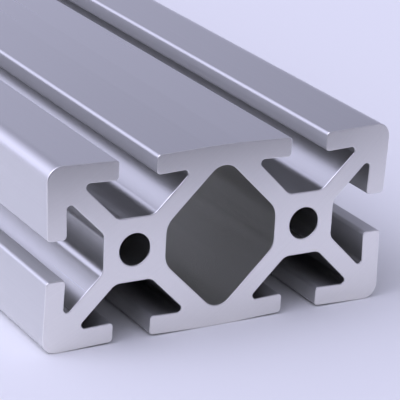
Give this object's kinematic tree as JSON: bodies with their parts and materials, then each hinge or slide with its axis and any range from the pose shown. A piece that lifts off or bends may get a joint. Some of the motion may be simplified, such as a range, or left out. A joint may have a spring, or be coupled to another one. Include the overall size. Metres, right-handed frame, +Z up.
{
  "type": "aluminium extrusion profile",
  "caption": "Straight T-slot aluminium bar with a twin-cell section: T-slots on every side, diagonal webs, round bores and a hollow middle chamber, for bolted frames.",
  "frame": {"origin": "on the floor under the middle of the bar's length and width", "axes": "+X across the wide side of the section, +Y along the bar away from the end in the picture, +Z up"},
  "size_m": [0.0762, 0.3048, 0.0381],
  "materials": {
    "anodised_aluminium": "satin clear anodised"
  },
  "bodies": {
    "root": {"extrusion_bar": "anodised_aluminium"}
  },
  "joints": []
}
